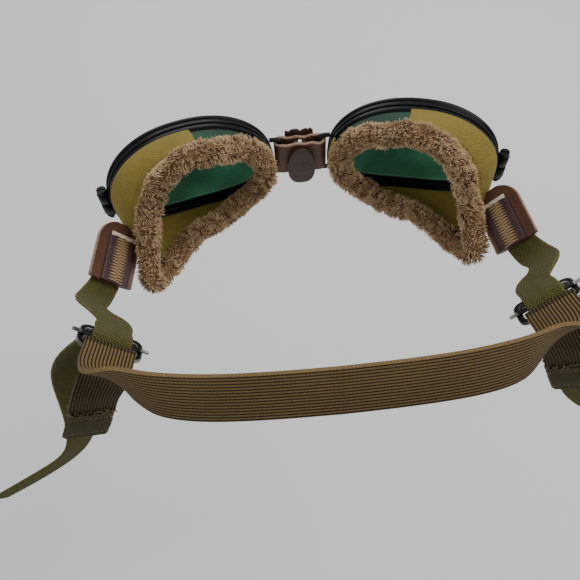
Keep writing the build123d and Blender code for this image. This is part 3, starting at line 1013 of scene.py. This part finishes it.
def tab_leaf(side_name, side):
    radius = LEAF_WIDTH / 2
    turn = np.linspace(0.06, pi / 2, 16)
    nose = -LEAF_LENGTH / 2 + radius - radius * np.cos(turn)
    body = np.linspace(nose[-1], LEAF_LENGTH / 2, 20)[1:]
    x = np.concatenate([nose, body])
    half = np.concatenate([radius * np.sin(turn), np.full(len(body), radius)])
    section, wear = soft_box(LEAF_WIDTH, LEAF_THICKNESS, 0.45, 1.0)
    curled = lambda x, y: 1.5 * (np.abs(y) / radius) ** 3 + 0.9 * np.clip(-x / 13, 0, 1) ** 2
    rows = slab(x, half, section, curled)
    rubbed = np.maximum(wear[None, :], np.where(np.arange(len(x)) < 2, 1.0, 0.0)[:, None])
    made = Shape().add(rows, wear=rubbed).piece(f"{side_name}_leaf_leather", brown_leather, side)
    return hand_over(made, f"{side_name}_eyepiece", "brown_leather", f"{side_name}_tab_leaf")


def tab_strip(side_name, side):
    x = np.linspace(-STRIP_LENGTH / 2, STRIP_LENGTH / 2, 26) + (LEAF_LENGTH - STRIP_LENGTH) / 2
    section, wear = soft_box(STRIP_WIDTH, STRIP_THICKNESS, 0.4, 0.9)
    offset = (LEAF_THICKNESS + STRIP_THICKNESS) / 2
    sunk = lambda x, y: offset - 0.35 * np.exp(-(((y - STRIP_SHIFT) / 3.2) ** 2))
    rows = slab(x, np.full(len(x), STRIP_WIDTH / 2), section, sunk, STRIP_SHIFT)
    made = Shape().add(rows, wear=wear[None, :]).piece(f"{side_name}_strip_leather", strip_leather, side)
    return hand_over(made, f"{side_name}_eyepiece", "dark_leather", f"{side_name}_tab_strip")


def cord_of(shape, line, radius, up, sides=7, squash=1.0):
    """A thread along a line of points."""
    section = round_section(radius, sides, squash)
    return shape.add(carried(line, np.broadcast_to(up, line.shape), section))


ZIGS = 15


def tab_stitching(side_name, side):
    front, rear = -6.3, 13.0
    across = 3.3
    steps = np.arange(ZIGS * 2 * 4 + 1) / 4
    x = front + (rear - front) * steps / (ZIGS * 2)
    wave = 2 * np.abs((steps / 2) % 1 - 0.5) * 2 - 1
    y = across * np.sign(wave) * np.abs(wave) ** 0.85
    drawn = STRIP_FACE - 0.28 + 0.34 * np.cos(y / across * pi / 2) ** 0.7
    zigzag = cord_of(Shape(), on_tab(x, y + STRIP_SHIFT, drawn), 0.24, TAB_N)
    hand_over(zigzag.piece(f"{side_name}_zigzag", gold_thread, side), f"{side_name}_eyepiece", None)
    bar = Shape()
    for k, shift in enumerate((-0.42, 0.0, 0.42)):
        y = np.linspace(-5.6, 5.6, 34)
        drawn = STRIP_FACE + 0.3 - 0.5 * (np.abs(y) / 5.6) ** 8 + 0.1 * np.sin(y * 2.1 + k)
        x = front - 0.9 + shift + 0.08 * np.sin(y * 1.7 + 2 * k)
        cord_of(bar, on_tab(x, y + STRIP_SHIFT, drawn), 0.42, TAB_N)
    return hand_over(bar.piece(f"{side_name}_bar_tack", cream_thread, side), f"{side_name}_eyepiece", None)


for side_name, side in SIDES:
    tab_leaf(side_name, side)
    tab_strip(side_name, side)
    tab_stitching(side_name, side)

# %% [markdown]
# One length of webbing on each side is sewn to the tab, twists on its way up to the buckle,
# goes over the bar, and comes back under as a loose tail. A webbing strap is laid as stations
# along its route, each with the way that its width lies. The same route is cut once, half way,
# because each half bends across one joint only.

# %% The buckle's frame
BUCKLE = np.array((70.0, 104.0, 29.0))
B_ALONG = unit(np.array((-0.119, 0.838, 0.534)))
B_SIDE = np.array((0.84, -0.2, 0.5))
B_ACROSS = unit(B_SIDE - B_SIDE.dot(B_ALONG) * B_ALONG)
B_UP = np.cross(B_ACROSS, B_ALONG)


def at_buckle(along, up):
    return BUCKLE + B_ALONG * along + B_UP * up


print("buckle runs back along", B_ALONG.round(2))


# %% Webbing routes
WEB_WIDTH, WEB_THICKNESS = 12.7, 1.4
TAB_Y_OUT = -TAB_Y if TAB_Y[0] < 0 else TAB_Y
print("across the tab", TAB_Y_OUT.round(2))
OUTSIDE = -(LEAF_THICKNESS + WEB_THICKNESS) / 2 - 0.2
WEB_UPPER = [
    (TAB_CENTRE - TAB_X * 9 + TAB_N * OUTSIDE, TAB_Y_OUT),
    (TAB_CENTRE + TAB_N * OUTSIDE, TAB_Y_OUT),
    (TAB_CENTRE + TAB_X * 10 + TAB_N * OUTSIDE, TAB_Y_OUT),
    ((87.0, 61.0, -4.0), (0.66, 0.02, 0.75)),
    ((87.4, 69.4, 2.6), (0.69, -0.03, 0.72)),
    ((83.4, 77.2, 10.4), (0.72, -0.08, 0.68)),
    ((77.0, 85.0, 16.8), (0.78, -0.14, 0.60)),
    (at_buckle(-17.4, -1.1), B_SIDE),
    (at_buckle(-9.0, 0.9), B_SIDE),
    (at_buckle(-5.4, 2.0), B_SIDE),
    (at_buckle(-2.0, 3.0), B_SIDE),
    (at_buckle(1.2, 3.0), B_SIDE),
    (at_buckle(3.0, 1.2), B_SIDE),
    (at_buckle(2.0, -1.0), B_SIDE),
    (at_buckle(-1.6, -2.1), B_SIDE),
    (at_buckle(-6.0, -2.4), B_SIDE),
    ((80.0, 95.0, 19.0), (0.70, 0.50, 0.50)),
    ((89.0, 93.5, 12.0), (0.55, 0.80, 0.30)),
    ((94.5, 95.0, 1.0), (0.75, 0.60, 0.25)),
    ((97.0, 99.0, -14.0), (0.90, 0.35, 0.25)),
    ((98.5, 106.0, -30.0), (0.80, 0.50, 0.35)),
    ((104.0, 111.5, -41.0), (0.50, 0.50, 0.70)),
    ((117.0, 117.0, -48.0), (0.20, 0.35, 0.90)),
    ((137.0, 125.0, -52.0), (0.10, 0.35, 0.95)),
]
WEB_CUT_Y = 74.0


def strap_section(width, thickness, cells):
    """A flat strap's section: two divided faces and soft edges."""
    a = np.linspace(-0.5, 0.5, cells + 1) * (width - thickness)
    face = np.stack([a, np.full(len(a), thickness / 2)], axis=1)
    near, high = width / 2 - 0.25 * thickness, 0.36 * thickness
    nose = [(near, high), (width / 2, 0.0), (near, -high)]
    other = [(-x, -y) for x, y in nose]
    return np.concatenate([face, nose, face[::-1] * (1, -1), other])


def webbing(side_name, side):
    path, width, even = route(WEB_UPPER, 0.45)
    section = strap_section(WEB_WIDTH, WEB_THICKNESS, 22)
    picots = 1 + 0.018 * np.sin(even * 2 * pi / 1.35)[:, None]
    full = np.broadcast_to(section, (len(even), *section.shape)).copy()
    full[..., 0] *= picots
    crown = 0.5 * np.sin(even / 9.0) * np.clip((even - 95) / 30, 0, 1)
    full[..., 1] += crown[:, None] * (1 - (section[None, :, 0] / WEB_WIDTH * 2) ** 2) * 0.6
    rows = carried(path, width, full)
    lay = strap_lay(even, section)
    cut = int(np.argmax(path[:, 1] > WEB_CUT_Y))
    bend_from = path[cut] - (path[cut] - path[0]) * 0.3
    parts = (
        ("webbing_front", slice(0, cut + 1), ("eyepiece", "harness"), (bend_from, path[cut])),
        ("webbing_tail_strap", slice(cut, None), ("harness", "buckle"), (path[cut], at_buckle(-9, 0))),
    )
    nodes = {"webbing_front": ("strap_front",), "webbing_tail_strap": ("strap_run", "webbing_tail")}
    for name, part, bodies, (start, end) in parts:
        made = Shape().add(rows[part], lay=lay[part]).piece(f"{side_name}_{name}", olive_webbing, side)
        ends = [Vector(p * (side * MM, MM, MM)) for p in (start, end)]
        names = [b if b == "harness" else f"{side_name}_{b}" for b in bodies]
        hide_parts(*[f"{side_name}_{node}" for node in nodes[name]])
        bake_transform(made)
        print(made.name, "rows", len(rows[part]))
    return even[-1]


for side_name, side in SIDES:
    print("webbing", round(webbing(side_name, side)), "mm long")

# %% [markdown]
# The buckle is a pressed steel frame with a loose bar across it. The frame is a flat rounded
# section carried round a rounded rectangle, and the bar is flat in the middle with pin ends.


# %% Buckles
def buckle_plate(side_name, side):
    corner, rail, thickness = 2.2, 2.2, 1.3
    half_across, half_along = 10.5 - rail / 2, 6.5 - rail / 2
    ring, outs = [], []
    for quarter, (x, y) in enumerate(((1, 1), (-1, 1), (-1, -1), (1, -1))):
        for k in range(7):
            turn = (quarter + k / 6) * pi / 2
            middle = (x * (half_across - corner), y * (half_along - corner))
            ring.append((middle[0] + corner * cos(turn), middle[1] + corner * sin(turn)))
            outs.append((cos(turn), sin(turn)))
    ring, outs = np.array(ring), np.array(outs)
    section, wear = soft_box(rail, thickness, 0.32, 1.0)
    across = ring[:, None, 0] + outs[:, None, 0] * section[None, :, 0]
    along = ring[:, None, 1] + outs[:, None, 1] * section[None, :, 0]
    lift = section[None, :, 1] + 0.25 * (along / 6.5) ** 2
    rows = BUCKLE + across[..., None] * B_ACROSS + along[..., None] * B_ALONG + lift[..., None] * B_UP
    shape = Shape().add(rows, ring=True, wear=wear[None, :])
    made = shape.piece(f"{side_name}_buckle_plate", buckle_steel, side)
    return hand_over(made, f"{side_name}_buckle", "buckle_steel", f"{side_name}_buckle_frame")


def buckle_pin_bar(side_name, side):
    at = np.array([-12.5, -12.4, -12.1, -10.2, -9.6, -9.0, -4, 0, 4, 9.0, 9.6, 10.2, 12.1, 12.4, 12.5])
    wide = np.array([0.3, 0.55, 0.65, 0.65, 0.9, 1.2, 1.2, 1.2, 1.2, 1.2, 0.9, 0.65, 0.65, 0.55, 0.3])
    thick = np.minimum(wide, 0.6)
    section = round_section(1.0, 16)
    rows = at_buckle(0, 1.25) + at[:, None, None] * B_ACROSS
    rows = rows + (section[None, :, :1] * wide[:, None, None]) * B_ALONG
    rows = rows + (section[None, :, 1:] * thick[:, None, None]) * B_UP
    pins = np.where(np.abs(at) > 9.5, 1.0, 0.0)[:, None]
    made = Shape().add(rows, wear=pins).piece(f"{side_name}_pin_bar", buckle_steel, side)
    return hand_over(made, f"{side_name}_buckle", "buckle_steel", f"{side_name}_buckle_bar")


for side_name, side in SIDES:
    buckle_plate(side_name, side)
    buckle_pin_bar(side_name, side)

# %% [markdown]
# The elastic goes round the back of the head. At each buckle it lies flat, wraps the rear rail
# and comes back under as a short end with a sewn stop. Its ribs are cut into the section, and
# the knit is a small ripple along every rib, so the strap has its relief in the mesh itself.

# %% Elastic
ELASTIC = 1.5
BAND_HALF = [
    ((0, 133.5, 43.5), (0, -0.45, 0.89)),
    ((28, 132.6, 43.2), (0, -0.45, 0.89)),
    ((46, 130.2, 42.4), (0, -0.43, 0.90)),
    ((54, 127.5, 41.2), (0.15, -0.40, 0.90)),
    ((61, 123.4, 39.6), (0.45, -0.35, 0.80)),
    ((67.6, 118.0, 37.6), (0.84, -0.2, 0.5)),
    (at_buckle(9.5, 1.3), B_SIDE),
    (at_buckle(6.6, 2.1), B_SIDE),
]
WRAP = [
    (at_buckle(6.6, 2.1), B_SIDE),
    (at_buckle(5.0, 2.2), B_SIDE),
    (at_buckle(3.4, 1.0), B_SIDE),
    (at_buckle(3.2, -0.8), B_SIDE),
    (at_buckle(4.6, -2.3), B_SIDE),
    (at_buckle(7.2, -3.6), (0.84, -0.2, 0.5)),
    ((73.5, 110.5, 21.0), (0.84, -0.2, 0.5)),
    ((79.5, 112.0, 10.0), (0.85, 0.1, 0.5)),
    ((84.5, 113.5, -1.0), (0.85, 0.2, 0.48)),
]


def ribbed(even):
    """The elastic's section at every step: rib tops rounded, knit ripples along them."""
    per_rib = 5
    a = (np.arange(RIBS * per_rib + 1) / per_rib - RIBS / 2) * RIB
    over = 1 - np.abs((a / RIB) % 1 - 0.5) * 2
    crest = np.sqrt(np.clip(1 - (1 - over) ** 2, 0, 1))
    knit = 0.012 * np.sin((even[:, None] + over[None, :] * 0.4) * 2 * pi / 1.05)
    half = ELASTIC / 2 * (0.7 + 0.3 * crest[None, :]) + knit * crest[None, :]
    a = np.broadcast_to(a, half.shape) * 0.985
    top = np.dstack([a, half])
    nose = np.zeros((len(even), 1, 2)) + (ELASTIC_WIDTH / 2, 0)
    return np.concatenate([top, nose, top[:, ::-1] * (1, -1), -nose], axis=1)


def elastic_piece(name, stations, finish, side, step=0.36):
    path, width, even = route(stations, step)
    section = ribbed(even)
    shape = Shape().add(carried(path, width, section), lay=strap_lay(even, section))
    return shape.piece(name, finish, side, sharp=60), even[-1]


total = 0
for side_name, side in SIDES:
    band, length = elastic_piece(f"{side_name}_elastic_half", BAND_HALF, brown_elastic, side)
    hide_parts("head_band")
    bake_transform(band)
    # The folded-back end takes the darker elastic copy, a painted shade.
    tail, tail_length = elastic_piece(f"{side_name}_elastic_end", WRAP, shaded_elastic, side)
    hand_over(tail, f"{side_name}_buckle", "brown_elastic", f"{side_name}_elastic_tail")
    total += length + tail_length
print("elastic", round(total), "mm long in all")

# %% [markdown]
# The stop is a piece of webbing folded over the elastic's end and sewn across. The cut edge at
# its top has frayed, which small loose threads show.

# %% Elastic stops
STOP_END = np.array((84.5, 113.5, -1.0))
STOP_LENGTH, STOP_THICKNESS = 17.0, 4.0
STOP_ALONG = unit(STOP_END - np.array((79.5, 112.0, 10.0)))
STOP_SIDE = np.array((0.85, 0.2, 0.48))
STOP_ACROSS = unit(STOP_SIDE - STOP_SIDE.dot(STOP_ALONG) * STOP_ALONG)
STOP_UP = np.cross(STOP_ALONG, STOP_ACROSS)


def on_stop(along, across, up):
    level = STOP_END + along[..., None] * STOP_ALONG + across[..., None] * STOP_ACROSS
    return level + up[..., None] * STOP_UP


def elastic_stop(side_name, side):
    fold, turn = 1.2, np.linspace(0.2, 1.5, 6)
    at = np.concatenate([np.linspace(-1.0, STOP_LENGTH - fold, 26), STOP_LENGTH - fold + fold * np.sin(turn)])
    full = np.concatenate([np.ones(26), np.cos(turn) ** 0.6])
    section = strap_section(ELASTIC_WIDTH + 0.6, STOP_THICKNESS * 0.8, 18)
    edge = 0.35 * np.sin(at * 1.9) + 0.15 * np.sin(at * 5.1)
    sewn = 1 - 0.32 * np.exp(-(((at - 3.2) / 0.8) ** 2)) - 0.25 * np.exp(-(((at - 13.5) / 0.8) ** 2))
    across = section[None, :, 0] + np.sign(section[None, :, 0]) * edge[:, None] * 0.25
    raw = np.where(at < -0.5, 0.3, 0.0)[:, None] * np.sin(section[None, :, 0] * 3.3)
    up_by = section[None, :, 1] * (full * sewn)[:, None] + 0.25 * np.sin(at * 0.5)[:, None]
    rows = on_stop(at[:, None] + raw, across, up_by)
    lay = np.dstack([at[:, None] + 0 * across, across * 0.75, up_by])
    made = Shape().add(rows, lay=lay).piece(f"{side_name}_stop_cloth", stop_webbing, side)
    return hand_over(made, f"{side_name}_buckle", "stop_webbing", f"{side_name}_elastic_stop")


def stop_threads(side_name, side):
    """Rows of stitches across the stop, and the frayed threads at its top edge."""
    draw = np.random.default_rng(31 if side > 0 else 32)
    shape = Shape()
    for face in (1, -1):
        for row in (3.2, 13.5):
            for k in range(9):
                y = np.linspace(0, 1.15, 6) - 7.6 + k * 1.75
                lift = face * (1.12 + 0.22 * np.sin(np.linspace(0, pi, 6)))
                cord_of(shape, on_stop(row + 0 * y, y, lift + 0.25 * sin(row * 0.5)), 0.2, STOP_UP, 5)
        for k in range(46):
            y0 = draw.uniform(-8.3, 8.3)
            long = draw.uniform(0.8, 2.3)
            t = np.linspace(0, 1, 6)
            sway = draw.normal(size=2) * 0.8
            line = on_stop(-0.8 - long * t, y0 + sway[0] * t ** 2, face * (1.2 + 0.4 * t) + sway[1] * t ** 2)
            cord_of(shape, line, draw.uniform(0.10, 0.2), STOP_ACROSS, 4)
    made = shape.piece(f"{side_name}_stop_threads", olive_thread, side)
    return hand_over(made, f"{side_name}_buckle", None)


for side_name, side in SIDES:
    elastic_stop(side_name, side)
    stop_threads(side_name, side)


# %% [markdown]
# Cup stitching: a line of short stitches beside the edging and down the cup's two darts.

# %% Cup stitching
def cup_stitches(side_name, side):
    canvas = bpy.data.objects[f"{side_name}_canvas"].data
    points = points_of(canvas).reshape(CUP_ROWS, -1, 3) / (side * MM, MM, MM)
    middle = points.mean((0, 1))
    shape = Shape()

    def run(line, pitch=2.4, long=1.5):
        gone = np.concatenate([[0], np.cumsum(np.linalg.norm(np.diff(line, axis=0), axis=1))])
        for start in np.arange(0, gone[-1] - long, pitch):
            at = np.linspace(start, start + long, 5)
            spot = np.stack([np.interp(at, gone, line[:, k]) for k in range(3)], axis=1)
            off = unit(spot - middle) * (0.42 + 0.16 * np.sin(np.linspace(0, pi, 5)))[:, None]
            cord_of(shape, spot + off, 0.17, unit(spot[0] - middle), 5)

    run(points[CUP_ROWS - 7])
    for column in (62, 150):
        run(points[:-6, column], 2.0, 1.3)
    made = shape.piece(f"{side_name}_cup_stitches", olive_thread, side)
    return hand_over(made, f"{side_name}_eyepiece", None)


for side_name, side in SIDES:
    cup_stitches(side_name, side)

# %% [markdown]
# A plain pale floor lies well below, so the goggles seem to hang in even light. One broad key
# lamp stands on the wearer's right, a weaker one fills the left, and the world adds the rest.

# %% Floor, lamps and world
FLOOR_DROP = 0.22
floor_z = cad_box[0].z - FLOOR_DROP
bpy.ops.mesh.primitive_plane_add(size=14, location=(0, 0, floor_z))
floor = bpy.context.object
floor.name = "studio_floor"
pale = Finish("studio_floor", Roughness=0.9)
soft = pale.cloud(400, 2)
pale.coat(pale.dye(soft, (0.80, 0.80, 0.805), (0.84, 0.84, 0.845)))
floor.data.materials.append(pale.material)


def lamp(name, place, size, power, shade=(1, 1, 1)):
    data = bpy.data.lights.new(name, "AREA")
    data.size, data.energy, data.color = size, power, shade
    made = bpy.data.objects.new(name, data)
    made.location = place
    made.rotation_euler = (Vector((0, 0.05, 0)) - Vector(place)).to_track_quat("-Z", "Y").to_euler()
    bpy.context.scene.collection.objects.link(made)
    return made


lamp("key", (-0.9, -0.1, 1.2), 0.9, 15, (1.0, 0.985, 0.96))
lamp("fill", (1.0, 0.5, 0.9), 1.0, 4.5, (0.96, 0.98, 1.0))
lamp("back", (0.2, -1.1, 0.7), 0.7, 5)
world = bpy.data.worlds.new("studio_world")
bpy.context.scene.world = world
world.use_nodes = True
world.node_tree.nodes["Background"].inputs["Color"].default_value = (0.92, 0.94, 0.97, 1)
world.node_tree.nodes["Background"].inputs["Strength"].default_value = 0.42
print("floor at", round(floor_z, 3))
